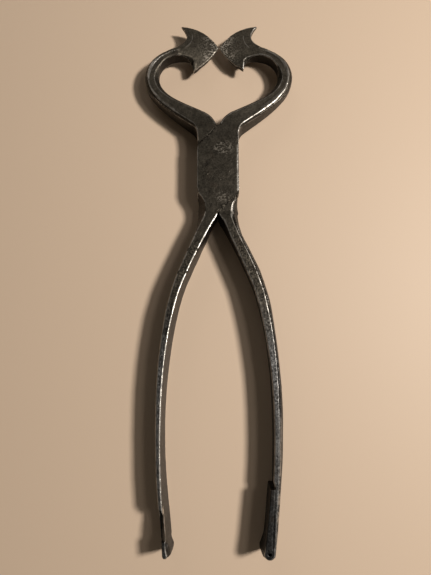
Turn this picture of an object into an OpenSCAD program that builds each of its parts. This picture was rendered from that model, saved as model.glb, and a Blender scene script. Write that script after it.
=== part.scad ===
// Hand-forged iron nippers: two crossed levers with axe-shaped jaws, held by one flush rivet.
// Frame: the origin is on the pivot axis, at the plane that the tool lies on. X runs across the
// tool, +Y points to the jaws and +Z up. The jaws are drawn closed. Sizes are in millimetres.
// Both levers are one design. It is drawn with its jaw on the right, its handle on the left and
// its lap uppermost; the under lever is the same bar turned over about the Y axis.

/* [Joint] */
// Width of the joint block across its two straight sides
joint_w = 19.8; // [16:0.2:24]
// Thickness of the joint block, both laps together
joint_t = 13.2; // [10:0.2:16]
// Distance from the pivot to the outer end of the seam on the jaw side
jaw_seam_y = 12; // [11:0.5:14]
// Distance from the pivot to the outer end of the seam on the handle side
handle_seam_y = 12.2; // [11:0.1:14]
// Distance from the pivot to the notch where the two jaw arms part
notch_y = 22.4; // [20:0.2:26]
// Distance from the pivot to the crotch where the two handles part
crotch_y = 21.2; // [19:0.2:25]
// How far the jaw-side seam bows towards the pivot
seam_bow = 0.7; // [0:0.1:0.9]
// Gap between the two laps
lap_gap = 0.1; // [0.06:0.02:0.3]
// Gap between a lap's edge and the other lever's shoulder when the jaws are closed
shoulder_gap = 0.25; // [0.1:0.05:0.5]

/* [Rivet] */
// Diameter of the rivet's shank
rivet_d = 8; // [6:0.5:10]
// Diameter of the rivet's countersunk heads, which are filed flush
rivet_head_d = 11; // [10.5:0.5:14]
// Depth of each countersink
rivet_head_depth = 2; // [1:0.25:3]
// Radial clearance between the rivet and the lever that turns on it
rivet_clearance = 0.06; // [0.02:0.01:0.1]

/* [Jaw arms] */
// Distance from the middle plane to the centre of each round lobe
lobe_x = 20.5; // [17:0.5:26]
// Distance from the pivot to the centre of each lobe, along the tool
lobe_y = 50.5; // [44:0.5:62]
// Radius of the lobe, to the middle of its bar
lobe_r = 13; // [11:0.5:16]
// Width of the bar where it reaches the lobe, seen from above
arm_w = 7; // [5.5:0.25:8]
// Thickness of the bar round the lobe
arm_t = 7.2; // [5:0.2:10]
// Width of the bevels along the bar, where they are widest
arm_bevel = 2.1; // [0.5:0.1:2.4]

/* [Blades] */
// Rise of the bite point above the lobe's centre
bite_rise = 16.5; // [12:0.5:20]
// Gap between the two cutting edges when the jaws are closed
bite_gap = 0.4; // [0.2:0.1:1]
// Rise of the upper horn's tip above the lobe's centre
horn_rise = 28; // [23:0.2:34]
// Distance that the upper horn's tip lies in from the lobe's centre
horn_in = 1.1; // [-2:0.1:4]
// Rise of the lower horn's tip above the lobe's centre
low_horn_rise = 3.2; // [0:0.1:6]
// Distance that the lower horn's tip lies in from the lobe's centre
low_horn_in = 7.8; // [6.5:0.1:9.5]
// Thickness of the blade where it leaves the bar
blade_t = 7; // [5:0.2:9]
// Thickness of the blade along its edge
edge_t = 0.7; // [0.4:0.1:1.5]

/* [Handles] */
// Distance from the pivot to the ends of the handles
handle_len = 173; // [140:0.5:220]
// Distance between the middles of the two straps where they are widest apart
grip_spread = 52.2; // [40:0.2:70]
// Distance from the pivot to the place where the straps are widest apart
grip_y = 116; // [90:1:135]
// Distance between the middles of the two straps at their ends
end_spread = 45.8; // [36:0.2:60]
// Height of the straps
strap_h = 15; // [10:0.5:18]
// Thickness of the straps along the grip
strap_t = 3.2; // [2.2:0.1:4.5]
// Thickness of the straps at their ends
strap_end_t = 2.3; // [1.6:0.1:3]
// Width of the bevels along the straps
strap_bevel = 0.3; // [0.2:0.05:0.5]
// How far the waist above each handle is hollowed into the side of the joint block
waist_bevel = 2.9; // [1:0.1:3.2]

/* [Handle ends] */
// Length of the end that is folded back inside the under lever's handle
fold_len = 28; // [16:1:50]
// How far the folded layer reaches inwards from the middle of the strap, where it starts
fold_reach = 2.6; // [2:0.1:4]
// How much thinner the strap is made beside the folded layer
fold_relief = 1.6; // [0.5:0.1:1.7]
// Gap between the folded layer and the strap
fold_gap = 0.1; // [0.05:0.05:0.6]
// Radius of the bend that closes the fold
fold_loop_r = 2.4; // [2:0.1:3]
// Radius of the eye left inside the fold
fold_eye_r = 0.7; // [0.3:0.1:1]
// Distance from the over lever's handle end to the scarf filed on its outside
scarf_from_end = 7; // [4:0.5:10]
// Length of that scarf
scarf_len = 13; // [8:0.5:25]
// Width of that scarf at the top of the strap
scarf_w = 1.9; // [0.6:0.1:2]
// Depth of that scarf down the strap
scarf_depth = 4.5; // [2:0.5:8]
// How far the end of each handle spreads inwards at its lower edge
lip_out = 1.6; // [0.5:0.1:2.5]
// Height at which that spread runs out
lip_h = 13.5; // [8:0.5:14]
// Length of the spread along the handle
lip_len = 6; // [3.5:0.5:14]

/* [Hidden] */

half_w = joint_w / 2;
mid_z = joint_t / 2;
// Everything that cuts a lever reaches this far past it
over = 6;
// Small step used to find the direction of a path
nudge = 0.001;
lobe_centre = [lobe_x, lobe_y];
iron = "#4a4642";

// ---- Curves -------------------------------------------------------------------------------

function blend(a, b, t) = a + (b - a) * t;
function unit(angle) = [cos(angle), sin(angle)];
function left_of(angle) = [-sin(angle), cos(angle)];

// Point at t on the curve from p to q that leaves p along angle a and reaches q along angle b
function bend(p, a, q, b, reach_p, reach_q, t) =
    let (c = p + unit(a) * reach_p, d = q - unit(b) * reach_q)
    blend(blend(blend(p, c, t), blend(c, d, t), t), blend(blend(c, d, t), blend(d, q, t), t), t);

// Points of a shallow curve from p to q that bows out to the left by sag
function bow(p, q, sag, steps = 8) =
    let (side = left_of(atan2(q.y - p.y, q.x - p.x)))
    [for (i = [0:steps]) let (t = i / steps) blend(p, q, t) + side * 4 * sag * t * (1 - t)];

function flip_x(points) = [for (p = points) [-p.x, p.y]];
// The points mirrored across X and listed backwards, to close an outline
function flip_y(points) = [for (i = [len(points) - 1:-1:0]) [points[i].x, -points[i].y]];
function shifted(points, by) = [for (p = points) p + by];

// ---- Bars of bevelled section ---------------------------------------------------------------

// Direction of a path at u
function heading(path, u) =
    let (a = path(u - nudge), b = path(u + nudge))
    atan2(b.y - a.y, b.x - a.x);

// Section across the path at u: each point of its profile is [reach to the left, height]
function section(path, u, profile) =
    let (at = path(u), side = left_of(heading(path, u)))
    [for (p = profile) let (foot = at + side * p.x) [foot.x, foot.y, p.y]];

// A bar through a list of sections
module bar(sections) {
    sides = len(sections[0]);
    last = len(sections) - 1;
    points = [for (s = sections) each s];
    walls = [
        for (i = [0:last - 1], j = [0:sides - 1])
            let (a = i * sides + j, b = i * sides + (j + 1) % sides)
            each [[a, b, b + sides], [a, b + sides, a + sides]]
    ];
    start = [[for (j = [0:sides - 1]) sides - 1 - j]];
    end = [[for (j = [0:sides - 1]) last * sides + j]];
    polyhedron(points, concat(start, walls, end));
}

// ---- Seams of the lap joint -------------------------------------------------------------------

// Edges of the upper lap: the jaw side runs up to the notch, the handle side down to the crotch
jaw_seam = bow([-half_w, jaw_seam_y], [bite_gap / 2, notch_y], -seam_bow);
handle_seam = [[half_w, -handle_seam_y], [-bite_gap / 2, -crotch_y]];
// How far each seam runs on past the side of the block, and how far it falls there
run_out = [over, 0.7 * over];

// Ground beyond the upper lap's edges, which belongs to the other lever's shoulders
module beyond_jaw_seam() {
    polygon(concat(
        [[-half_w - run_out.x, jaw_seam_y - run_out.y]],
        jaw_seam,
        [[-half_w - run_out.x, notch_y]]
    ));
}

module beyond_handle_seam() {
    polygon(concat(
        [[half_w + run_out.x, -handle_seam_y + run_out.y]],
        handle_seam,
        [[half_w + run_out.x, -crotch_y]]
    ));
}

// Ground of the lower lap with its gap all round, which this lever leaves clear
module lower_lap_ground() {
    jaw_edge = shifted(flip_x(jaw_seam), unit(45) * shoulder_gap);
    handle_edge = shifted(flip_x(handle_seam), unit(225) * shoulder_gap);
    polygon(concat(
        [[half_w + run_out.x, jaw_seam_y - run_out.y]],
        jaw_edge,
        [[-half_w - run_out.x, notch_y], [-half_w - run_out.x, run_out.y - handle_seam_y]],
        handle_edge,
        [[half_w + run_out.x, -crotch_y]]
    ));
}

// ---- Jaw arm ------------------------------------------------------------------------------------

// The arm leaves the block upwards, bends at the knee and runs straight to the lobe
arm_root = [half_w / 2, jaw_seam_y - 3];
knee = [half_w + 0.4, notch_y + 4.2];
knee_angle = 34;
lobe_from = -42;
lobe_to = 124;
// The blade leaves the lobe at this angle about its centre
neck_angle = 95;

function arm_path(u) =
    let (start = lobe_centre + unit(lobe_from) * lobe_r)
    u < 1 ? bend(arm_root, 90, knee, knee_angle, 9, 5, u) :
    u < 2 ? bend(knee, knee_angle, start, lobe_from + 90, 9, 9, u - 1) :
    lobe_centre + unit(blend(lobe_from, lobe_to, u - 2)) * lobe_r;

// Reach of the bar to each side of its path and its thickness, from root to neck
arm_inner = [[0, half_w / 2 + 0.3], [0.5, 6], [0.75, 5.4], [1, 4.4], [1.3, 3.6], [1.6, 3],
    [1.75, 2.8], [1.9, 2.8], [2, 0.44 * arm_w], [2.1, 0.5 * arm_w], [2.25, 0.52 * arm_w],
    [2.4, 0.47 * arm_w], [2.7, 0.4 * arm_w], [2.8, 0.36 * arm_w], [2.95, 0.34 * arm_w],
    [3, 2.5], [3.05, 3], [3.1, 3.5], [3.15, 4], [3.2, 4.5]];
arm_outer = [[0, half_w / 2], [0.5, half_w / 2 - 0.6], [0.75, 4.4], [1, 4.6], [1.5, 4.2],
    [1.75, 4], [2, 0.56 * arm_w], [2.25, 0.49 * arm_w], [2.37, 0.4 * arm_w], [2.46, 0.32 * arm_w],
    [2.54, 0.24 * arm_w], [2.65, 0.2 * arm_w], [2.78, 0.32 * arm_w], [2.83, 0.32 * arm_w],
    [2.92, 0.1 * arm_w], [3, 0], [3.1, -1], [3.15, -2.4], [3.2, -3.6]];
arm_depth = [[0, joint_t], [0.55, joint_t], [1, blend(joint_t, arm_t, 0.2)],
    [1.5, blend(joint_t, arm_t, 0.55)], [2, blend(joint_t, arm_t, 0.9)], [2.25, arm_t]];
// Width of the bevels along its inner and its outer edges
cut_inner = [[0, 0.3], [0.5, 0.5], [1, 0.5 * arm_bevel], [1.5, 0.6 * arm_bevel],
    [1.8, 0.8 * arm_bevel], [2.1, arm_bevel], [2.2, arm_bevel], [2.45, 0.2 * arm_bevel],
    [2.85, 0.2 * arm_bevel], [2.97, 0.4 * arm_bevel], [3.02, 0.8 * arm_bevel],
    [3.05, 0.8 * arm_bevel], [3.1, 0.3 * arm_bevel], [3.2, 0.1 * arm_bevel]];
cut_outer = [[0, 0.3], [0.5, 0.4], [1, 0.5 * arm_bevel], [1.5, 0.6 * arm_bevel],
    [1.8, 0.6 * arm_bevel], [2.1, arm_bevel], [2.2, arm_bevel], [2.4, 0.7 * arm_bevel],
    [2.65, 0.6 * arm_bevel], [2.8, 0.4 * arm_bevel], [3, 0.1 * arm_bevel]];
arm_steps = 20;
// The bar runs on past the neck to the lower horn, and thins with the blade beside it
arm_end = 3.2;
// It is this much thicker than the blade beside it
stand_out = 0.2;
neck_u = 2 + (neck_angle - lobe_from) / (lobe_to - lobe_from);
function beside_blade(u, reach) = lobe_centre
    + unit(blend(lobe_from, lobe_to, u - 2)) * (lobe_r - reach) - neck_centre;
function arm_thickness(u, reach) =
    u < neck_u ? lookup(u, arm_depth) :
    min(arm_t, blade_depth(norm(beside_blade(u, reach))) + stand_out);

function arm_profile(u) =
    let (
        inner = lookup(u, arm_inner), outer = lookup(u, arm_outer),
        cut_in = lookup(u, cut_inner), cut_out = lookup(u, cut_outer),
        thick = arm_thickness(u, inner - cut_in),
        low = mid_z - thick / 2, high = mid_z + thick / 2,
        drop_in = u < neck_u ? cut_in : min(cut_in, 0.4 * thick)
    )
    [
        [inner, low + drop_in], [inner - cut_in, low], [cut_out - outer, low],
        [-outer, low + cut_out], [-outer, high - cut_out], [cut_out - outer, high],
        [inner - cut_in, high], [inner, high - drop_in]
    ];

module jaw_arm() {
    bar([for (i = [0:arm_end * arm_steps]) let (u = i / arm_steps)
        section(function (v) arm_path(v), u, arm_profile(u))]);
}

// ---- Blade --------------------------------------------------------------------------------------

neck_centre = lobe_centre + unit(neck_angle) * lobe_r;
bite = [bite_gap / 2, lobe_y + bite_rise];
horn = lobe_centre + [-horn_in, horn_rise];
low_horn = lobe_centre + [-low_horn_in, low_horn_rise];
// Where the blade's outline runs into the lobe, outside and inside
outer_root = lobe_centre + unit(86) * (lobe_r + 0.3 * arm_w);
inner_root = lobe_centre + unit(lobe_to) * (lobe_r - 1);
horn_top = low_horn + [0.1, 5.8];

blade_outline = concat(
    bow(outer_root, horn, 4.2),
    bow(horn, bite, -2.8),
    bow(bite, low_horn, -1.3),
    [horn_top, inner_root, neck_centre + [1, -1]]
);

// Thickness of the blade at distance r from the middle of its neck
blade_reach = norm(bite - neck_centre);
blade_taper = 1.3;
function blade_depth(r) = blend(edge_t, blade_t, pow(max(0, 1 - r / blade_reach), blade_taper));

module blade() {
    rings = 8;
    rim = 1.4 * blade_reach;
    half = [for (i = [0:rings]) let (r = blade_reach * i / rings) [r, blade_depth(r) / 2]];
    profile = concat(half, [[rim, edge_t / 2]]);
    intersection() {
        linear_extrude(height = joint_t) polygon(blade_outline);
        translate([neck_centre.x, neck_centre.y, mid_z])
            rotate_extrude($fn = 64)
                polygon(concat(profile, flip_y(profile)));
    }
}

// ---- Lap ----------------------------------------------------------------------------------------

// The upper lap's outline: both seams, the straight sides, and the waist above the handle
waist = [
    [waist_bevel - half_w + 1.2, -crotch_y + 1.5],
    [waist_bevel - half_w + 0.8, 4.6 - crotch_y],
    [waist_bevel * 0.75 - half_w, 7.4 - crotch_y],
    [0.6 - half_w, 10.2 - crotch_y],
    [-half_w, 11.7 - crotch_y]
];

module lap() {
    translate([0, 0, mid_z + lap_gap / 2])
        linear_extrude(height = joint_t - mid_z - lap_gap / 2)
            polygon(concat(jaw_seam, [[half_w, jaw_seam_y + 5]], handle_seam, waist));
}

// ---- Handle --------------------------------------------------------------------------------------

// The handle leaves the block downwards, swings out below the crotch and bows in to its end
handle_root = [-half_w / 2, -6];
handle_neck = [-half_w / 2 - 0.3, -crotch_y - 2.8];
handle_turn = -119;
grip = [-grip_spread / 2, -grip_y];
end_angle = -86;
cap_r = strap_end_t / 2;
strap_end = [-end_spread / 2, -handle_len + cap_r];

function handle_path(u) =
    u < 1 ? bend(handle_root, -90, handle_neck, handle_turn, 6, 5, u) :
    u < 2 ? bend(handle_neck, handle_turn, grip, -90, 31, 32, u - 1) :
    bend(grip, -90, strap_end, end_angle, 19, 18, u - 2);

// Reach of the strap to each side of its path: at its high face, at its low face, and at the
// belly of its outer side
face_in = [[0, half_w / 2 + 0.2], [0.5, half_w / 2 - 0.2], [0.8, 4.4], [1, 3.7], [1.12, 3.5],
    [1.2, 3], [1.3, 2.25], [1.4, 1.4], [1.6, 0.32 * strap_t], [2, 0.32 * strap_t],
    [2.3, 0.22 * strap_t], [2.5, 0.18 * strap_t], [2.75, 0.18 * strap_t], [2.8, 0.26 * strap_t],
    [2.94, 0.22 * strap_t], [3, cap_r]];
face_out = [[0, half_w / 2 - 0.3], [0.3, half_w / 2 - 0.2], [0.4, 3.5], [0.55, 2.2], [0.75, 2],
    [0.95, 1.8], [1.05, 1.4], [1.15, 1.3], [1.25, 1.6], [1.35, 2.2], [1.5, 2.4], [1.65, 2],
    [1.75, 1.95], [1.9, 1.45], [2, 0.42 * strap_t], [2.45, 0.46 * strap_t], [2.8, 0.35 * strap_t],
    [3, cap_r]];
back_in = [[0, half_w / 2 + 0.2], [0.5, half_w / 2 - 0.2], [0.8, 4.2], [1, 3.1], [1.1, 3.9],
    [1.2, 3.7], [1.3, 3], [1.37, 2.3], [1.5, 2.1], [1.7, 0.62 * strap_t], [1.9, 0.53 * strap_t],
    [2.3, 0.45 * strap_t], [2.5, 0.5 * strap_t], [2.7, 0.6 * strap_t], [2.9, 0.62 * strap_t],
    [3, cap_r + 0.3]];
back_out = [[0, half_w / 2 - 0.3], [0.3, half_w / 2 - 0.1], [0.45, 4.2], [0.6, 2.9], [0.8, 2.2],
    [1, 1.4], [1.07, 0.5], [1.15, 0.7], [1.25, 1.3], [1.4, 1.9], [1.5, 1.8], [1.7, 1.45],
    [1.9, 0.9], [2.2, 0.25 * strap_t], [2.45, 0.36 * strap_t], [3, cap_r - 0.1]];
belly = [[0, half_w / 2], [0.5, half_w / 2 + 0.2], [0.8, half_w / 2 + 0.7], [1, 4.8], [1.04, 3.4],
    [1.08, 2.3], [1.2, 2.7], [1.3, 3.35], [1.45, 3.7], [1.6, 3], [1.8, 0.87 * strap_t],
    [2.3, 0.85 * strap_t], [2.65, 0.72 * strap_t], [2.86, 0.66 * strap_t], [2.94, 1.7], [3, cap_r]];
// Height of the belly above the low face, and where the outer side starts to swell
belly_rise = [[0, mid_z], [1, mid_z], [1.3, 4], [3, 4]];
swell_rise = 0.9;
swell_share = 0.4;
handle_depth = [[0, joint_t], [0.8, joint_t], [1.5, strap_h], [3, strap_h]];
handle_steps = 20;

// Share of the handle's last stretch that the fold covers, and how much thinner the strap is there
fold_share = fold_len / (handle_len - grip_y);
fold_thinning = [[2.94 - fold_share, 0], [3 - fold_share, 0.75 * fold_relief], [2.75, fold_relief]];
// The high face is thinned by this share of it
high_share = 0.4;

// The low face of everything on the handle, for a lever that lies lap up or lap down
function low_face(height, upside_down) = upside_down ? joint_t - height : 0;

// The strap of the lever that lies lap down is thinned for the folded end
function strap_profile(u, upside_down) =
    let (
        depth = lookup(u, handle_depth), low = low_face(depth, upside_down), high = low + depth,
        thinning = upside_down ? lookup(u, fold_thinning) : 0,
        low_in = lookup(u, back_in) - thinning, low_out = lookup(u, back_out),
        high_in = lookup(u, face_in) - high_share * thinning, high_out = lookup(u, face_out),
        swell = lookup(u, belly), cut = strap_bevel
    )
    [
        [low_in, low + cut], [low_in - cut, low], [cut - low_out, low], [-low_out, low + cut],
        [-blend(low_out, swell, swell_share), low + swell_rise],
        [-swell, low + lookup(u, belly_rise)], [-high_out, high - cut],
        [cut - high_out, high], [high_in - cut, high], [high_in, high - cut]
    ];

module strap(upside_down) {
    bar([for (i = [0:3 * handle_steps]) let (u = i / handle_steps)
        section(function (v) handle_path(v), u, strap_profile(u, upside_down))]);
}

// Upright round of radius r with bevelled rims, and an eye through it if the eye has a radius
module round_end(r, eye_r, upside_down) {
    low = low_face(strap_h, upside_down);
    cut = min(strap_bevel, 0.6 * (r - eye_r));
    translate([0, 0, low])
        rotate_extrude($fn = 48)
            polygon([[eye_r, 0], [r - cut, 0], [r, cut], [r, strap_h - cut], [r - cut, strap_h],
                [eye_r, strap_h]]);
}

// The plain end is rounded
module plain_end() {
    translate([strap_end.x, strap_end.y, 0]) round_end(cap_r, 0, false);
}

// The scarf is filed on the outer top edge of the plain end, and starts on a slant
module scarf() {
    outer_x = strap_end.x - cap_r;
    // The strap swings out by this much between its end and the middle of the scarf
    swing = 0.65;
    top_x = outer_x - swing + scarf_w;
    low_x = outer_x - swing + 0.3;
    floor_z = strap_h - scarf_depth;
    end_y = scarf_from_end - handle_len;
    slant = 5;
    intersection() {
        translate([0, 0, -over])
            linear_extrude(height = strap_h + 2 * over)
                polygon([
                    [outer_x - over, end_y], [top_x + 1, end_y], [top_x + 1, end_y + scarf_len - slant],
                    [top_x, end_y + scarf_len - slant], [low_x, end_y + scarf_len],
                    [outer_x - over, end_y + scarf_len]
                ]);
        rotate([90, 0, 0])
            linear_extrude(height = handle_len)
                polygon([
                    [top_x, strap_h + nudge], [low_x, floor_z], [outer_x - over, floor_z],
                    [outer_x - over, strap_h + over], [top_x, strap_h + over]
                ]);
    }
}

// The folded end: the strap turns back on itself round an eye and runs up inside the handle.
// The layer stands beside the thinned strap, and leans with it
layer_flare = [[2.5, 0], [2.87, 0.6], [2.95, 1]];
layer_lean = 0.45;
fold_steps = 10;

function layer_profile(u, upside_down) =
    let (
        low = low_face(strap_h, upside_down), high = low + strap_h, cut = strap_bevel,
        strap_in = strap_profile(u, upside_down),
        low_out = strap_in[0].x + fold_gap, high_out = strap_in[9].x + fold_gap,
        low_in = fold_reach + lookup(u, layer_flare), high_in = low_in - layer_lean
    )
    [
        [low_in, low + cut], [low_in - cut, low], [low_out + cut, low], [low_out, low + cut],
        [high_out, high - cut], [high_out + cut, high], [high_in - cut, high], [high_in, high - cut]
    ];

module folded_end(upside_down) {
    from = 3 - fold_share;
    to = 2.97;
    translate([strap_end.x - cap_r + fold_loop_r, -handle_len + fold_loop_r, 0])
        round_end(fold_loop_r, fold_eye_r, upside_down);
    bar([for (i = [0:fold_steps]) let (u = blend(from, to, i / fold_steps))
        section(function (v) handle_path(v), u, layer_profile(u, upside_down))]);
}

// How far the spread of the folded end starts inside its bend
loop_overlap = 0.8;

// The end of the handle spreads inwards, most at its lower edge and at its very tip
module spread_end(root_x, upside_down) {
    plan = [
        [-1, 0.6], [0.2, 0.1], [0.85 * lip_out, 0], [lip_out, 0.12 * lip_len],
        [0.95 * lip_out, 0.3 * lip_len], [0.5 * lip_out, 0.55 * lip_len],
        [0.2 * lip_out, 0.8 * lip_len], [-0.2, lip_len], [-1, lip_len]
    ];
    rise = [
        [-1, 0], [lip_out, 0], [0.9 * lip_out, 0.3 * lip_h], [0.75 * lip_out, 0.6 * lip_h],
        [0.6 * lip_out, 0.8 * lip_h], [0.15 * lip_out, 0.95 * lip_h], [-0.1, lip_h], [-1, lip_h]
    ];
    translate([root_x, 0, 0])
        intersection() {
            translate([0, -handle_len, -over])
                linear_extrude(height = strap_h + 2 * over) polygon(plan);
            translate([0, 0, upside_down ? joint_t : 0])
                mirror([0, 0, upside_down ? 1 : 0])
                    rotate([90, 0, 0])
                        linear_extrude(height = 2 * handle_len) polygon(rise);
        }
}

// ---- Levers --------------------------------------------------------------------------------------

// Room for the rivet's shank and its upper head, with a clearance all round
module rivet_hole(clearance) {
    r = rivet_d / 2 + clearance;
    head_r = rivet_head_d / 2 + clearance;
    translate([0, 0, -over]) cylinder(r = r, h = joint_t + 2 * over, $fn = 64);
    translate([0, 0, joint_t - rivet_head_depth])
        cylinder(r1 = r, r2 = head_r, h = rivet_head_depth, $fn = 64);
    translate([0, 0, joint_t]) cylinder(r = head_r, h = over, $fn = 64);
}

// What the other lever needs: its lower lap, its shoulders, and its side of the middle plane
module other_lever_room() {
    tall = strap_h + 4 * over;
    translate([0, 0, mid_z + lap_gap / 2 - tall]) linear_extrude(height = tall) lower_lap_ground();
    translate([0, 0, mid_z]) linear_extrude(height = tall) beyond_jaw_seam();
    translate([0, 0, mid_z]) linear_extrude(height = tall) beyond_handle_seam();
    translate([bite_gap / 2 - 3 * joint_w, notch_y, -over])
        cube([3 * joint_w, 2 * lobe_y, tall]);
    translate([-bite_gap / 2, -crotch_y - grip_y, -2 * over])
        cube([3 * joint_w, grip_y, tall + over]);
}

module lever(upside_down, clearance) {
    difference() {
        union() {
            lap();
            jaw_arm();
            blade();
            strap(upside_down);
            children();
        }
        other_lever_room();
        rivet_hole(clearance);
    }
}

module over_lever() {
    color(iron)
        difference() {
            lever(false, rivet_clearance) {
                plain_end();
                spread_end(strap_end.x + cap_r, false);
            }
            scarf();
        }
}

module under_lever() {
    color(iron)
        translate([0, 0, joint_t]) rotate([0, 180, 0])
            lever(true, 0) {
                folded_end(true);
                spread_end(strap_end.x - cap_r + 2 * fold_loop_r - loop_overlap, true);
            }
}

// The rivet fills both countersinks and is filed flush with the block
module pivot_rivet() {
    r = rivet_d / 2;
    head_r = rivet_head_d / 2;
    color(iron) {
        cylinder(r = r, h = joint_t, $fn = 64);
        cylinder(r1 = head_r, r2 = r, h = rivet_head_depth, $fn = 64);
        translate([0, 0, joint_t - rivet_head_depth])
            cylinder(r1 = r, r2 = head_r, h = rivet_head_depth, $fn = 64);
    }
}

under_lever();
over_lever();
pivot_rivet();
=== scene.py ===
"""The looks of a pair of hand-forged iron nippers: forged surfaces, worn edges, iron and light.

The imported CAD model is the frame. Each lever's solid is copied, remeshed finely, rounded, dented
and pitted, and the copy stands for the CAD node. The functions that shape a lever take arrays with
one row per point: p for places and n for normals. Their lengths are in millimetres from the pivot,
with the jaws at positive y and the handles at negative y. Other lengths are in metres, unless a
name says mm.
"""
import math

import bmesh
import bpy
import numpy as np
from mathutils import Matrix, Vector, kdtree


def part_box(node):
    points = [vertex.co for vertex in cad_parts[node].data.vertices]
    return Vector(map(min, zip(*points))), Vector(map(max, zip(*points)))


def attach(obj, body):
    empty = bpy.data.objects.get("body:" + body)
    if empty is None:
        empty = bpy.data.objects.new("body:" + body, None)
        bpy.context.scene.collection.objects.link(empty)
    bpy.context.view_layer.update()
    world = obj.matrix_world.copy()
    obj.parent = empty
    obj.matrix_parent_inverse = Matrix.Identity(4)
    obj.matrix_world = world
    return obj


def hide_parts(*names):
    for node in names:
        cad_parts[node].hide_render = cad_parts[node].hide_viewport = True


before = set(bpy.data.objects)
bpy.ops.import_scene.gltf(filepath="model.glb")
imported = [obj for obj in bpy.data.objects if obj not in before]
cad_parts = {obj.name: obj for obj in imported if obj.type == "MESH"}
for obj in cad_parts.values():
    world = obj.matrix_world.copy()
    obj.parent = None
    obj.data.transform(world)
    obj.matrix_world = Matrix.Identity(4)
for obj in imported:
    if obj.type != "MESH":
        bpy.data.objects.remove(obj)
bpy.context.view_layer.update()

MM = 0.001

# ---- Sizes read from the frame ----------------------------------------------------------------

rivet_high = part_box("pivot_rivet")[1]
over_low, over_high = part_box("over_lever")
JOINT_TOP_MM = rivet_high.z / MM
MID_MM = JOINT_TOP_MM / 2
RIVET_R_MM = rivet_high.x / MM
STRAP_TOP_MM = over_high.z / MM
END_Y_MM = over_low.y / MM

# ---- Places on the levers, in millimetres -----------------------------------------------------

# Half the joint block's width, and its reach along y
BLOCK_X_MM = 10.5
BLOCK_Y_MM = (-22, 23)
# Ends of the two seams on the block's upper face; the over lever's lap lies between them
JAW_SEAM_MM = np.array([[-9.9, 12.0], [-4.85, 16.5], [0.2, 22.4]])
HANDLE_SEAM_MM = np.array([[9.9, -12.2], [-0.2, -21.2]])
# Middle of the heart-shaped opening
HEART_Y_MM = 45
# Where the under lever's folded layer starts, and how far out it reaches
FOLD_Y_MM = END_Y_MM + 31
FOLD_X_MM = 24.1
# The eye of the under lever's rolled end
EYE_X_MM = 21.6
EYE_Y_MM = END_Y_MM + 2.4
# Where the over lever's scarf starts
SCARF_Y_MM = END_Y_MM + 17
# The worn band beside the scarf reaches this far down from the strap's top, and from CREST_Y_MM
# on this much less per mm
CREST_DEPTH_MM = 2
CREST_Y_MM = SCARF_Y_MM - 2
CREST_TAPER = 0.29
# Nicks in the left handle's inner rim
NICKS_Y_MM = np.array([-39.6, -50.3])
# The right neck's upper face steps up by this where the handle starts
NECK_STEP_MM = 0.45

# ---- Amounts ----------------------------------------------------------------------------------

VOXEL_MM = 0.3
# Points closer than this are joined, in metres
WELD = 1e-6
ROUNDING = 6
# Each averaging is pushed back by this share of what the next one would move
PUSH_BACK = 1.04
# Rims closer to a seam than this are drawn to it, and stop this far short of it
SEAM_REACH_MM = 0.5
RIM_GAP_MM = 0.02
# A wall's normal has less z than the first, up or down, and an upper face's has more than the
# second
WALL_Z = 0.55
TOP_Z = 0.7
# Distances that stand for nothing near
NO_WALL_MM = 9.0
NO_SEAM_MM = 99.0
# The surroundings that a point stands out from reach this many edges
SURROUNDINGS = 10
# Height, lump size and seed of each layer of unevenness
RELIEF_LAYERS = ((0.09, 13, 1), (0.045, 5.5, 2), (0.02, 1.7, 3))
SMALL_PIT_MM = 0.07
LARGE_PIT_MM = 0.08
CROWN_MM = 0.5
RIDGE_MM = 0.12
# Heights and depths that count as a full edge, hollow or pit
EDGE_MM = 0.14
HOLLOW_MM = 0.05
PIT_MM = 0.12
# How light each region is
TONE_JOINT = 0.285
TONE_ARM = 0.42
TONE_BLADE = 0.51
TONE_HANDLE = 0.26
TONE_GRIP = 0.56

# ---- Smooth steps -----------------------------------------------------------------------------


def ramp(v, start, end):
    """0 before start, 1 after end, smooth between them."""
    t = np.clip((v - start) / (end - start), 0, 1)
    return t * t * (3 - 2 * t)


def window(v, low, high, soft):
    """1 between low and high, falling to 0 over soft on both sides."""
    return ramp(v, low - soft, low) * (1 - ramp(v, high, high + soft))


def up_jaws(p, start, end):
    """0 before start and 1 after end, as distances from the pivot towards the jaws."""
    return ramp(p[:, 1], start, end)


def down_handles(p, start, end):
    """0 before start and 1 after end, as distances from the pivot towards the handles' ends."""
    return ramp(-p[:, 1], start, end)


def jaw_band(p, low, high, soft):
    """1 between two distances from the pivot towards the jaws, soft on both sides."""
    return window(p[:, 1], low, high, soft)


def handle_band(p, low, high, soft):
    """1 between two distances from the pivot towards the handles' ends, soft on both sides."""
    return window(-p[:, 1], low, high, soft)


# ---- Noise ------------------------------------------------------------------------------------

# Large odd multipliers that scramble a lattice point's place and seed
SCRAMBLE_X = 374761393
SCRAMBLE_Y = 668265263
SCRAMBLE_Z = 1442695041
SCRAMBLE_SEED = 1274126177
MASK_32 = 0xFFFFFFFF
SEED_SHIFT = 17.3
# Turns the lattice out of line with the tool, so that no row of it shows
TURN = np.array([[0.36, 0.48, -0.8], [-0.8, 0.6, 0.0], [0.48, 0.64, 0.6]])


def lattice(i, j, k, seed):
    """A fixed pseudo-random value from -1 to 1 for each lattice point."""
    h = i * SCRAMBLE_X + j * SCRAMBLE_Y + k * SCRAMBLE_Z + seed * SCRAMBLE_SEED
    h &= MASK_32
    h = ((h ^ (h >> 13)) * SCRAMBLE_SEED) & MASK_32
    h = ((h ^ (h >> 16)) * SCRAMBLE_Y) & MASK_32
    return ((h >> 8) & 0xFFFF) / 32767.5 - 1


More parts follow.
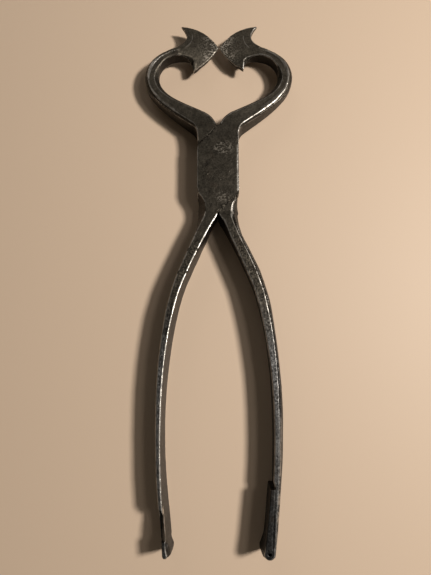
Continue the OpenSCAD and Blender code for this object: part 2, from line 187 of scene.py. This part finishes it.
def noise(points, size, seed):
    """Smooth noise from about -1 to 1 with lumps of the given size, in the points' own unit."""
    q = points @ TURN / size + seed * SEED_SHIFT
    cell = np.floor(q).astype(np.int64)
    f = q - cell
    f = f * f * (3 - 2 * f)
    total = np.zeros(len(points))
    for a in (0, 1):
        for b in (0, 1):
            for c in (0, 1):
                weight = (
                    np.abs(1 - a - f[:, 0]) * np.abs(1 - b - f[:, 1]) * np.abs(1 - c - f[:, 2])
                )
                total += weight * lattice(cell[:, 0] + a, cell[:, 1] + b, cell[:, 2] + c, seed)
    return total


# ---- Mesh tools -------------------------------------------------------------------------------


def points_of(mesh):
    """The mesh's points in millimetres."""
    flat = np.empty(len(mesh.vertices) * 3)
    mesh.vertices.foreach_get("co", flat)
    return flat.reshape(-1, 3) / MM


def set_points(mesh, points):
    """Puts the mesh's points at these places in millimetres."""
    mesh.vertices.foreach_set("co", (points * MM).ravel())
    mesh.update()


def normals_of(mesh):
    flat = np.empty(len(mesh.vertices) * 3)
    mesh.vertices.foreach_get("normal", flat)
    return flat.reshape(-1, 3)


def edges_of(mesh):
    flat = np.empty(len(mesh.edges) * 2, np.int64)
    mesh.edges.foreach_get("vertices", flat)
    return flat.reshape(-1, 2)


def averaged(values, edges, rounds):
    """Values per point, spread to the neighbours a number of times."""
    values = np.array(values, float)
    count = np.bincount(edges.ravel(), minlength=len(values))
    columns = values.reshape(len(values), -1)
    for _ in range(rounds):
        new = np.empty_like(columns)
        for c in range(columns.shape[1]):
            v = columns[:, c]
            near = np.bincount(edges[:, 0], v[edges[:, 1]], len(v))
            near += np.bincount(edges[:, 1], v[edges[:, 0]], len(v))
            new[:, c] = 0.5 * v + 0.5 * near / np.maximum(count, 1)
        columns = new
    return columns.reshape(values.shape)


def rounded(points, edges, rounds):
    """Softens edges without shrinking: each averaging is followed by one that pushes back."""
    for _ in range(rounds):
        points = averaged(points, edges, 1)
        points = points - PUSH_BACK * (averaged(points, edges, 1) - points)
    return points


def nearest_wall(p, n):
    """Distance from each point of an upper face to the nearest wall, and the wall's own facing."""
    walls = np.flatnonzero(np.abs(n[:, 2]) < WALL_Z)
    tree = kdtree.KDTree(len(walls))
    for index, wall in enumerate(walls):
        tree.insert(p[wall], index)
    tree.balance()
    distance = np.full(len(p), NO_WALL_MM)
    facing = np.zeros((len(p), 2))
    for top in np.flatnonzero(n[:, 2] > TOP_Z):
        _, index, distance[top] = tree.find(p[top])
        facing[top] = n[walls[index], :2]
    return distance, facing


def store(mesh, name, values):
    """Keeps one value per point on the mesh, for the materials."""
    attribute = mesh.attributes.new(name, "FLOAT", "POINT")
    attribute.data.foreach_set("value", values.astype(np.float32))


def welded_copy(node, name):
    """A copy of a CAD node's mesh with its faces joined at their edges, as a new object."""
    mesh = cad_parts[node].data.copy()
    mesh.materials.clear()
    bm = bmesh.new()
    bm.from_mesh(mesh)
    bmesh.ops.remove_doubles(bm, verts=bm.verts, dist=WELD)
    bm.to_mesh(mesh)
    bm.free()
    obj = bpy.data.objects.new(name, mesh)
    bpy.context.scene.collection.objects.link(obj)
    return obj


def applied(obj):
    """Replaces the object's mesh with what its modifiers make of it."""
    graph = bpy.context.evaluated_depsgraph_get()
    mesh = bpy.data.meshes.new_from_object(obj.evaluated_get(graph))
    obj.modifiers.clear()
    obj.data = mesh
    mesh.name = obj.name
    return mesh


# ---- The joint's seams and fitted faces -------------------------------------------------------


def beyond_seam(p, seam):
    """Signed distance from a seam's nearest stretch: positive on the side away from the pivot."""
    best = np.full(len(p), NO_SEAM_MM)
    for start, end in zip(seam[:-1], seam[1:]):
        along = end - start
        t = np.clip((p[:, :2] - start) @ along / (along @ along), 0, 1)
        gap = p[:, :2] - (start + t[:, None] * along)
        side = np.sign(along[0] * gap[:, 1] - along[1] * gap[:, 0])
        pivot_side = np.sign(along[0] * -start[1] - along[1] * -start[0])
        signed = -pivot_side * side * np.hypot(gap[:, 0], gap[:, 1])
        best = np.where(np.abs(signed) < np.abs(best), signed, best)
    return best


def in_block(p):
    """1 inside the joint block's outline, falling to 0 at 1.5 mm from it."""
    return jaw_band(p, *BLOCK_Y_MM, 1.5) * window(p[:, 0], -BLOCK_X_MM, BLOCK_X_MM, 1.5)


def upper_half(p):
    """0 on the lower half of the joint block, rising to 1 near its upper face."""
    return ramp(p[:, 2], MID_MM, JOINT_TOP_MM - 1)


def seam_nearness(p):
    """1 at a seam on the upper face, falling to 0 at 1.5 mm from it."""
    near = np.minimum(
        np.abs(beyond_seam(p, JAW_SEAM_MM)), np.abs(beyond_seam(p, HANDLE_SEAM_MM))
    )
    return (1 - ramp(near, 0.7, 1.5)) * in_block(p) * upper_half(p)


def rivet_nearness(p):
    """1 on the rivet's hole, falling to 0 at 1.6 mm from it."""
    radius = np.hypot(p[:, 0], p[:, 1])
    return 1 - ramp(radius, RIVET_R_MM + 0.4, RIVET_R_MM + 1.6)


def fitted(p):
    """1 on the lap faces and round the rivet, which stay as the CAD has them, 0 elsewhere."""
    lap_face = window(p[:, 2], MID_MM - 0.4, MID_MM + 0.4, 0.4)
    return np.maximum.reduce([in_block(p) * lap_face, rivet_nearness(p)])


def draw_to_seam(p, rim, seam, body):
    """Moves a lever's upper rim to a seam, in p itself, where it lies close to the seam."""
    distance = beyond_seam(p, seam)
    wanted = -RIM_GAP_MM if body == "over" else RIM_GAP_MM
    near = rim & (in_block(p) > 0.5) & (np.abs(distance) < SEAM_REACH_MM)
    step = 0.01
    slope = np.stack([
        beyond_seam(p + [step, 0, 0], seam) - distance,
        beyond_seam(p + [0, step, 0], seam) - distance,
    ], axis=1) / step
    p[near, :2] += (wanted - distance[near])[:, None] * slope[near]
    p[near, 2] = JOINT_TOP_MM


def close_seams(p, body):
    """Draws both levers' upper rims to the seams, and the rim of the hole to the rivet."""
    p = p.copy()
    rim = (p[:, 2] > JOINT_TOP_MM - 0.45) & (p[:, 2] < JOINT_TOP_MM + 0.3)
    for seam in (JAW_SEAM_MM, HANDLE_SEAM_MM):
        draw_to_seam(p, rim, seam, body)
    radius = np.hypot(p[:, 0], p[:, 1])
    near = rim & (radius > RIVET_R_MM - 0.5) & (radius < RIVET_R_MM + 0.35)
    if body == "over":
        p[near, :2] *= ((RIVET_R_MM + RIM_GAP_MM) / radius[near])[:, None]
        p[near, 2] = JOINT_TOP_MM
    return p


def remeshed(node, name, body):
    """A fine, evenly meshed copy of a CAD lever with soft edges, and the mesh's edges."""
    obj = welded_copy(node, name)
    modifier = obj.modifiers.new("even", "REMESH")
    modifier.mode = "VOXEL"
    modifier.voxel_size = VOXEL_MM * MM
    mesh = applied(obj)
    edges = edges_of(mesh)
    sharp = points_of(mesh)
    soft = rounded(sharp, edges, ROUNDING)
    # Faces that another piece runs on stay true
    true = np.maximum(fitted(sharp), seam_nearness(sharp))
    points = soft + (sharp - soft) * true[:, None]
    set_points(mesh, close_seams(points, body))
    return obj, edges


# ---- Shapes that the forging left -------------------------------------------------------------


def hand_made(p, body):
    """Where the two levers of the real pair differ a little from the one shared design."""
    p = p.copy()
    p[:, 0] += 0.6 * up_jaws(p, 30, 75)
    if body == "over":
        p[:, 0] += 0.35 * down_handles(p, 150, 170)
        p[:, 1] += 0.4 * down_handles(p, 160, 173)
    low_horn = jaw_band(p, 52, 56, 4) * window(np.abs(p[:, 0]), 11, 14, 2)
    p[:, 1] += (0.7 if body == "over" else -0.5) * low_horn
    return p


def relief(p):
    """Height of the forged surface's unevenness."""
    return sum(height * noise(p, size, seed) for height, size, seed in RELIEF_LAYERS)


def pits(p):
    """Depth of the rust pits, 0 where there are none."""
    blotch = ramp(noise(p, 9, 5), -0.2, 0.6)
    small = ramp(noise(p, 1.1, 6), 0.25, 0.8)
    large = ramp(noise(p, 2.4, 7), 0.45, 0.9)
    return (0.35 + 0.65 * blotch) * small * SMALL_PIT_MM + large * LARGE_PIT_MM


def pit_depth(p, n, distance, facing):
    """The pits as they are left: deepest on the handles' level faces, worn off on their rims."""
    on_handle = down_handles(p, 20, 40)
    smooth_rim = 1 - rubbed_rim_highlight(p, distance, facing) * on_handle
    return pits(p) * (0.35 + 0.65 * on_handle * np.abs(n[:, 2])) * smooth_rim


def crown(p, distance, facing, body):
    """How far an upper face falls away towards its rim, on the rims that hands have rubbed."""
    reach = np.where(p[:, 1] > -14, 1.9, 1.3)
    fall = np.clip(1 - distance / reach, 0, 1) ** 2
    rubbed = ramp(facing[:, 0], 0.1, 0.5)
    handle = np.maximum(handle_band(p, 14, 100, 10), handle_band(p, 149, 168, 4))
    handle *= body == "under"
    joint = 0.4 * jaw_band(p, -13, 13, 4)
    return CROWN_MM * fall * rubbed * np.maximum(handle, joint)


def on_outer_arm(p, facing):
    """1 on the lobes where the nearest wall is the outer one."""
    outward = p[:, 0] * facing[:, 0] + (p[:, 1] - HEART_Y_MM) * facing[:, 1]
    return ramp(outward, 1, 6) * jaw_band(p, 30, 62, 5) * ramp(np.abs(p[:, 0]), 18, 22)


def burr(p, distance, facing):
    """The lip that forging left along the outer bevel of each arm, and a fainter one within it."""
    lips = 0.15 * (1 - ramp(distance, 2.4, 3.0)) + 0.05 * (1 - ramp(distance, 5.3, 5.8))
    return on_outer_arm(p, facing) * lips


def forging_ridge(p, distance, facing):
    """1 along a faint ridge on each blade that follows the hollow side of its upper horn."""
    outward = ramp(np.sign(p[:, 0]) * facing[:, 0], 0.15, 0.5)
    away = np.where(p[:, 0] > 0, 3.9, 2.8)
    return np.exp(-(((distance - away) / 0.4) ** 2)) * outward * jaw_band(p, 66, 73, 2)


# ---- Bright rims and bare spots ---------------------------------------------------------------


def rubbed_rim_highlight(p, distance, facing):
    """1 on the polished rims of the handles and of the joint block, least on their left sides; the
    extra on rims facing the lamps is painted highlight.
    """
    rim = (1 - ramp(distance, 0.6, 1.1)) * down_handles(p, -14, -10)
    # Rims facing right, towards the lamps, are made barer than the rest: painted highlight on top
    # of the wear.
    return rim * (0.3 + 0.7 * ramp(facing[:, 0], -0.2, 0.3))


def lip_highlight(p, distance, facing):
    """Bare metal on the flanks of the arms' lips as painted highlight, broadest on the top of the
    left lobe.
    """
    flanks = window(distance, 2.3, 3.1, 0.4) + 0.7 * window(distance, 5.1, 5.9, 0.4)
    left_top = (p[:, 0] < 0) * up_jaws(p, 44, 52)
    return on_outer_arm(p, facing) * flanks * np.where(p[:, 0] < 0, 0.3 + 0.55 * left_top, 0.45)


def below_top(p):
    """Depth below the upper face of the right neck, which steps up where the handle starts."""
    return JOINT_TOP_MM + NECK_STEP_MM * down_handles(p, 21.5, 23) - p[:, 2]


def notch_rim_highlight(p):
    """1 along the worn rim of the notch, on the right of the joint block, made bare metal as
    painted highlight.
    """
    at_rim = window(below_top(p), 0.1, 0.45, 0.1)
    return at_rim * window(p[:, 0], 6.1, 9, 0.3) * handle_band(p, 14, 26, 2)


def hammered_end(p, n, distance):
    """1 in rough bare spots along the outer rim of the right handle's end."""
    spots = ramp(noise(p, 2.2, 11), -0.15, 0.2)
    slope = ramp(n[:, 0], 0.2, 0.5) * ramp(p[:, 2], STRAP_TOP_MM - 1.2, STRAP_TOP_MM - 0.6)
    rim = np.maximum(1 - ramp(distance, 1.0, 1.5), slope) * ramp(p[:, 0], 23.3, 23.8)
    return spots * rim * handle_band(p, 148, 169, 3)


def scarf_crest(p, n):
    """1 on the worn band along the inner rim of the left handle's end, beside the scarf."""
    top = STRAP_TOP_MM - CREST_DEPTH_MM + CREST_TAPER * np.maximum(CREST_Y_MM - p[:, 1], 0)
    high = ramp(p[:, 2], top - 1.1, top - 0.5) * (p[:, 0] < 0)
    return high * ramp(n[:, 0], 0.3, 0.6) * handle_band(p, 153, 165, 2)


def wear_and_highlight_lines(p, n, distance, facing, crest):
    """How bare the metal is along every rim and ridge that wear has brightened, and along the rims
    made bare as painted highlight.
    """
    lines = 0.9 * rubbed_rim_highlight(p, distance, facing) + lip_highlight(p, distance, facing)
    lines += 0.5 * forging_ridge(p, distance, facing) + 0.8 * notch_rim_highlight(p)
    return np.maximum.reduce([lines, hammered_end(p, n, distance), 0.9 * crest])


def patch(p, x, y, wide, tall):
    """1 inside an oval on the upper side, falling to 0 at its border."""
    reach = np.hypot((p[:, 0] - x) / wide, (p[:, 1] - y) / tall)
    return (1 - ramp(reach, 0.5, 1)) * ramp(p[:, 2], 4, 6)


def bare_spots(p, distance):
    """Where the scale has flaked off in small light specks, mostly along the cutting edges."""
    blades = 0.85 * patch(p, 0.3, 65.5, 13, 11) * (1 - 0.75 * ramp(distance, 2, 4.5))
    joint_top = 0.30 * patch(p, 2.4, 10.5, 5.8, 4.2)
    joint_low = 0.26 * patch(p, 2.4, -14, 4.4, 3.4)
    return np.maximum.reduce([blades, joint_top, joint_low])


# ---- Dark and dull places ---------------------------------------------------------------------


def folded(p):
    """1 on the right handle's folded and rolled end and the left one's scarfed end, 0 elsewhere."""
    layer = ramp(FOLD_Y_MM - p[:, 1], 0, 1.5) * (p[:, 0] > 0)
    layer *= 1 - ramp(p[:, 0], FOLD_X_MM - 0.3, FOLD_X_MM + 0.3)
    return np.maximum(layer, ramp(SCARF_Y_MM - p[:, 1], 0, 3) * (p[:, 0] < 0))


def shelf_shade(p):
    """1 on the slope below the notch's rim, which is darkened as painted shade."""
    low = ramp(below_top(p), 0.45, 0.8)
    return low * window(p[:, 0], 6.3, 12, 0.5) * handle_band(p, 13, 27, 2)


def outer_slope_shade(p, n):
    """1 on the outer slope of the right handle, below its rubbed rim, which is darkened as painted
    shade.
    """
    right = ramp(n[:, 0], 0.35, 0.6) * (p[:, 0] > 0)
    return right * handle_band(p, 26, 110, 8)


def nicks(p):
    """1 where the left handle's bright inner rim is broken."""
    near = np.abs(p[:, 1][:, None] - NICKS_Y_MM).min(axis=1)
    return (1 - ramp(near, 0.3, 0.9)) * (p[:, 0] < 0)


def dull_rims(p, distance):
    """0.85 on the rims of the blades and of the left lobe's top, which aren't polished."""
    return 0.85 * up_jaws(p, 48, 52) * window(p[:, 0], -30, 11, 1.5) * (distance < 2.2)


def soot(p, crest):
    """How far soot hides the wear on the handles' ends, least at the tips and on the crest."""
    from_eye = np.hypot(p[:, 0] - EYE_X_MM, p[:, 1] - EYE_Y_MM)
    tips = down_handles(p, 166, 169) * ramp(from_eye, 1.5, 2)
    return folded(p) * (0.8 - 0.5 * tips) * (1 - 0.8 * crest)


def seam_line(p):
    """The dark hairline of the joint: plain at the jaw seam's outer end, faint elsewhere."""
    on_top = in_block(p) * upper_half(p)
    jaw = 1 - ramp(np.abs(beyond_seam(p, JAW_SEAM_MM)), 0.15, 0.5)
    handle = 1 - ramp(np.abs(beyond_seam(p, HANDLE_SEAM_MM)), 0.15, 0.5)
    outer_end = 1 - ramp(p[:, 0], JAW_SEAM_MM[0, 0] + 2.5, JAW_SEAM_MM[0, 0] + 6)
    return on_top * np.maximum(jaw * (0.25 + 0.75 * outer_end), 0.25 * handle)


def facing_heart(p, n):
    """1 where a wall faces the middle of the heart-shaped opening, 0 where it faces away."""
    to_heart = -(p[:, 0] * n[:, 0] + (p[:, 1] - HEART_Y_MM) * n[:, 1])
    return ramp(to_heart / np.hypot(p[:, 0], p[:, 1] - HEART_Y_MM), 0, 0.5)


def tone_and_shade(p, n):
    """How light the surface is: dark at the joint, greyer on the blades and the grips, darker on
    the handles' ends, with painted shade on the walls.
    """
    arm, blade = up_jaws(p, 20, 32), up_jaws(p, 52, 62)
    handle, grip = down_handles(p, 18, 30), down_handles(p, 66, 104)
    level = TONE_JOINT + (TONE_ARM - TONE_JOINT) * arm + (TONE_BLADE - TONE_ARM) * blade
    level += (TONE_HANDLE - TONE_JOINT) * handle + (TONE_GRIP - TONE_HANDLE) * grip
    # Painted shade: walls are darkened by half, and walls facing into the heart-shaped opening much
    # further.
    wall = 1 - ramp(np.abs(n[:, 2]), 0.4, 0.8)
    level *= 1 - 0.5 * wall
    level *= 1 - 0.75 * wall * facing_heart(p, n) * up_jaws(p, 24, 40)
    # Painted shade on the slope below the notch's rim and on the right handle's outer slope.
    level *= (1 - 0.7 * shelf_shade(p)) * (1 - 0.6 * outer_slope_shade(p, n))
    return level * (1 - np.where(p[:, 0] > 0, 0.65, 0.45) * folded(p))


# ---- Forging the levers -----------------------------------------------------------------------


def store_wear_and_highlight(mesh, edges, depth, lines, hidden):
    """Stores where the surface stands out, lies deep or is pitted, but for what is hidden."""
    p = points_of(mesh)
    stand = np.einsum("ij,ij->i", p - averaged(p, edges, SURROUNDINGS), normals_of(mesh))
    edge = np.clip(averaged(stand, edges, 1) / EDGE_MM, 0, 1)
    # The edge attribute carries the wear, and also the rims made bare as painted highlight.
    store(mesh, "edge", np.maximum(edge, lines) * (1 - hidden))
    store(mesh, "hollow", np.clip(-stand / HOLLOW_MM, 0, 1) * (1 - hidden))
    store(mesh, "pitted", np.clip(depth / PIT_MM, 0, 1) * (1 - hidden))


def store_tones(mesh, distance):
    """Stores how light, grey, flaked and speckled the surface is, with its painted shade, and the
    seam's hairline.
    """
    p = points_of(mesh)
    store(mesh, "grip", down_handles(p, 55, 90))
    store(mesh, "tone_and_shade", tone_and_shade(p, normals_of(mesh)))
    store(mesh, "seam", seam_line(p))
    store(mesh, "bare", bare_spots(p, distance))
    store(mesh, "speckle", down_handles(p, 26, 40) * (1 - 0.6 * down_handles(p, 100, 130)))


def forge(node, body, name):
    """Makes the visible lever for one CAD lever."""
    obj, edges = remeshed(node, name, body)
    mesh = obj.data
    p, n = points_of(mesh), normals_of(mesh)
    distance, facing = nearest_wall(p, n)
    depth = pit_depth(p, n, distance, facing)
    crest = scarf_crest(p, n)
    lines = wear_and_highlight_lines(p, n, distance, facing, crest)
    shelf_shade_mask = shelf_shade(p)
    height = relief(p) - depth - crown(p, distance, facing, body)
    height += RIDGE_MM * forging_ridge(p, distance, facing) + burr(p, distance, facing)
    free = 1 - np.maximum(fitted(p), seam_nearness(p))
    set_points(mesh, p + n * (free * height)[:, None])
    p, n = points_of(mesh), normals_of(mesh)
    hidden = np.maximum.reduce([
        seam_nearness(p), rivet_nearness(p), dull_rims(p, distance), soot(p, crest), shelf_shade_mask,
        outer_slope_shade(p, n), nicks(p),
    ])
    store_wear_and_highlight(mesh, edges, depth, lines, hidden)
    store_tones(mesh, distance)
    set_points(mesh, hand_made(p, body))
    mesh.shade_smooth()
    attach(obj, body)
    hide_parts(node)
    return obj


# ---- Materials --------------------------------------------------------------------------------

BLACK = (0, 0, 0, 1)
SCALE_GREY = 0.15
SCALE_WARMTH = 0.25
RUST = (0.030, 0.020, 0.014, 1)
PIT_SCALE = (0.018, 0.015, 0.012, 1)
BARE_METAL = (0.50, 0.48, 0.45, 1)
FLAKED_METAL = (0.50, 0.46, 0.40, 1)
SOOT = (0.012, 0.010, 0.008, 1)
SEAM_DIRT = (0.009, 0.006, 0.004, 1)


class Nodes:
    """Short calls that build a material's node tree."""

    def __init__(self, name):
        self.material = bpy.data.materials.new(name)
        self.material.use_nodes = True
        self.tree = self.material.node_tree
        self.shader = self.tree.nodes["Principled BSDF"]
        self.place = self.add("ShaderNodeTexCoord").outputs["Object"]

    def add(self, kind, inputs=None, **settings):
        node = self.tree.nodes.new(kind)
        for key, value in settings.items():
            setattr(node, key, value)
        for key, value in (inputs or {}).items():
            self.feed(node.inputs[key], value)
        return node

    def feed(self, socket, value):
        if isinstance(value, bpy.types.NodeSocket):
            self.tree.links.new(value, socket)
        else:
            socket.default_value = value

    def noise(self, size_mm, detail=3.0, roughness=0.6):
        inputs = {
            "Vector": self.place,
            "Scale": 1 / (size_mm * MM),
            "Detail": detail,
            "Roughness": roughness,
        }
        return self.add("ShaderNodeTexNoise", inputs).outputs["Fac"]

    def attribute(self, name):
        return self.add("ShaderNodeAttribute", attribute_name=name).outputs["Fac"]

    def remap(self, value, low, high, to_low=0.0, to_high=1.0):
        inputs = {0: value, 1: low, 2: high, 3: to_low, 4: to_high}
        return self.add("ShaderNodeMapRange", inputs, clamp=True).outputs[0]

    def math(self, operation, a, b):
        return self.add("ShaderNodeMath", {0: a, 1: b}, operation=operation).outputs[0]

    def times(self, a, b):
        return self.math("MULTIPLY", a, b)

    def mix(self, factor, a, b, blend="MIX"):
        """Mixes two colours, which are the node's sockets 6 and 7 in and 2 out."""
        node = self.add("ShaderNodeMix", data_type="RGBA", blend_type=blend)
        for socket, value in ((node.inputs[0], factor), (node.inputs[6], a), (node.inputs[7], b)):
            self.feed(socket, value)
        return node.outputs[2]


def grey(level, warmth):
    """An iron colour of the given lightness: warm above 0, bluish below."""
    return (level * (1 + 0.5 * warmth), level, level * (1 - 0.8 * warmth), 1)


def scale_colour(m, light):
    """Forge scale of the given lightness: patchy, finely mottled, and speckled on the handles."""
    plain, on_grip = grey(SCALE_GREY, SCALE_WARMTH), grey(SCALE_GREY, 0.0)
    colour = m.mix(light, BLACK, m.mix(m.attribute("grip"), plain, on_grip))
    patches = m.remap(m.noise(3.2), 0.3, 0.7, 0.75, 1.3)
    fine = m.remap(m.noise(0.8, 2.0), 0.3, 0.7, 0.7, 1.35)
    colour = m.mix(1.0, colour, m.times(patches, fine), "MULTIPLY")
    light_specks = m.remap(m.noise(0.7, 1.0), 0.50, 0.62, 1.0, 2.4)
    dark_specks = m.remap(m.noise(0.9, 1.0), 0.38, 0.46, 0.3, 1.0)
    speckled = m.mix(1.0, colour, m.times(light_specks, dark_specks), "MULTIPLY")
    return m.mix(m.attribute("speckle"), colour, speckled)


def with_rust(m, colour):
    """Adds stains of rust and the dark scale in the pits."""
    rust = m.remap(m.noise(6.5, 4.0), 0.56, 0.72, 0.0, 0.5)
    colour = m.mix(rust, colour, RUST)
    return m.mix(m.remap(m.attribute("pitted"), 0.2, 0.7, 0.0, 0.8), colour, PIT_SCALE)


def with_flakes(m, colour):
    """Adds the light specks where scale has flaked off."""
    flakes = m.times(
        m.remap(m.noise(0.8, 1.0), 0.47, 0.54), m.remap(m.noise(2.6), 0.39, 0.52)
    )
    return m.mix(m.times(flakes, m.attribute("bare")), colour, FLAKED_METAL)


def with_dirt(m, colour):
    """Adds the soot in the hollows and the seam's dark hairline."""
    colour = m.mix(m.remap(m.attribute("hollow"), 0.3, 1.0, 0.0, 0.7), colour, SOOT)
    return m.mix(m.attribute("seam"), colour, SEAM_DIRT)


def iron_roughness(m, worn_and_highlit):
    """Satin scale, glossier where it is worn and where it is made bare as painted highlight."""
    rough = m.remap(m.noise(1.4), 0.3, 0.7, 0.40, 0.52)
    return m.math("SUBTRACT", rough, m.times(worn_and_highlit, 0.16))


def iron_grain(m):
    """The fine grain that is too small for the mesh."""
    grain = m.math("ADD", m.noise(0.9, 4.0), m.times(m.noise(0.35, 2.0), 0.5))
    bump = m.add("ShaderNodeBump", {"Height": grain, "Strength": 0.35, "Distance": 0.00025})
    return bump.outputs["Normal"]


def iron_material(name, tone_and_shade=None):
    """Dark forge scale, worn to bright metal on the edges and greyer along the grips, with painted
    highlight on some rims and painted shade on some walls.
    """
    m = Nodes(name)
    colour = scale_colour(m, m.attribute("tone_and_shade") if tone_and_shade is None else tone_and_shade)
    colour = with_rust(m, colour)
    # Bare metal on worn edges and, on some rims, as painted highlight.
    worn_and_highlit = m.times(
        m.remap(m.attribute("edge"), 0.30, 0.7), m.remap(m.noise(2.6), 0.38, 0.5, 0.35, 1.0)
    )
    colour = m.mix(worn_and_highlit, colour, BARE_METAL)
    colour = with_dirt(m, with_flakes(m, colour))
    m.feed(m.shader.inputs["Base Color"], colour)
    m.feed(m.shader.inputs["Metallic"], 0.9)
    m.feed(m.shader.inputs["Roughness"], iron_roughness(m, worn_and_highlit))
    m.feed(m.shader.inputs["Normal"], iron_grain(m))
    return m.material


def plain_material(name, colour, roughness):
    """A material with one colour and one roughness."""
    m = Nodes(name)
    m.feed(m.shader.inputs["Base Color"], colour)
    m.feed(m.shader.inputs["Roughness"], roughness)
    return m.material


def dress_rivet(material):
    """The rivet keeps its CAD shape: it fills both countersinks and is filed flush."""
    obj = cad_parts["pivot_rivet"]
    obj.data.materials.clear()
    obj.data.materials.append(material)


# ---- Camera, floor and light ------------------------------------------------------------------

CAMERA_PLACE = (-0.0012, -0.0875, 0.2237)
CAMERA_TILT = math.radians(8.2)
CAMERA_LENS = 29.11
FLOOR_HALF = 3.0
FLOOR_COLOUR = (0.60, 0.47, 0.355, 1)
WARM = (1.0, 0.93, 0.85)
# Each lamp's place, size and power. The high one lightens the outer part of the shadows.
LAMPS = {
    "key": ((0.58, 0.035, 0.72), 0.12, 9.2),
    "high": ((0.35, 0.035, 0.72), 0.12, 0.55),
    "back": ((-0.35, 0.75, 0.55), 0.5, 0.6),
}
WORLD_COLOUR = (1.0, 0.87, 0.70, 1)
WORLD_STRENGTH = 0.065


def linked(name, data, place):
    """A new object in the scene, at the given place."""
    obj = bpy.data.objects.new(name, data)
    obj.location = place
    bpy.context.scene.collection.objects.link(obj)
    return obj


def make_camera():
    """Nearly straight down on the tool, as it lies on the floor."""
    data = bpy.data.cameras.new("camera")
    data.lens = CAMERA_LENS
    data.clip_start = 0.01
    camera = linked("camera", data, CAMERA_PLACE)
    camera.rotation_euler = (CAMERA_TILT, 0, 0)
    bpy.context.scene.camera = camera


def make_floor():
    """A wide plain floor under the tool, which takes its shadow."""
    half = FLOOR_HALF
    mesh = bpy.data.meshes.new("floor")
    corners = [(-half, -half, 0), (half, -half, 0), (half, half, 0), (-half, half, 0)]
    mesh.from_pydata(corners, [], [(0, 1, 2, 3)])
    mesh.materials.append(plain_material("floor", FLOOR_COLOUR, 0.6))
    linked("floor", mesh, (0, 0, 0))


def make_lamp(name, place, size, power):
    """A square soft light that faces the middle of the tool."""
    data = bpy.data.lights.new(name, "AREA")
    data.size = size
    data.energy = power
    data.color = WARM
    lamp = linked(name, data, place)
    aim = lamp.constraints.new("TRACK_TO")
    aim.target = linked(name + "_target", None, (0, CAMERA_PLACE[1], 0))
    aim.track_axis = "TRACK_NEGATIVE_Z"
    aim.up_axis = "UP_Y"


def make_light():
    """The lamps, the world's faint light and the plain view."""
    for name, (place, size, power) in LAMPS.items():
        make_lamp(name, place, size, power)
    world = bpy.data.worlds.new("world")
    world.use_nodes = True
    background = world.node_tree.nodes["Background"]
    background.inputs["Color"].default_value = WORLD_COLOUR
    background.inputs["Strength"].default_value = WORLD_STRENGTH
    bpy.context.scene.world = world
    bpy.context.scene.view_settings.view_transform = "Standard"


# ---- The scene --------------------------------------------------------------------------------

make_camera()
iron = iron_material("forged_iron")
levers = [
    forge("under_lever", "under", "under_lever_forged"),
    forge("over_lever", "over", "over_lever_forged"),
]
for lever in levers:
    lever.data.materials.append(iron)
dress_rivet(iron_material("rivet_iron", TONE_JOINT))
make_floor()
make_light()
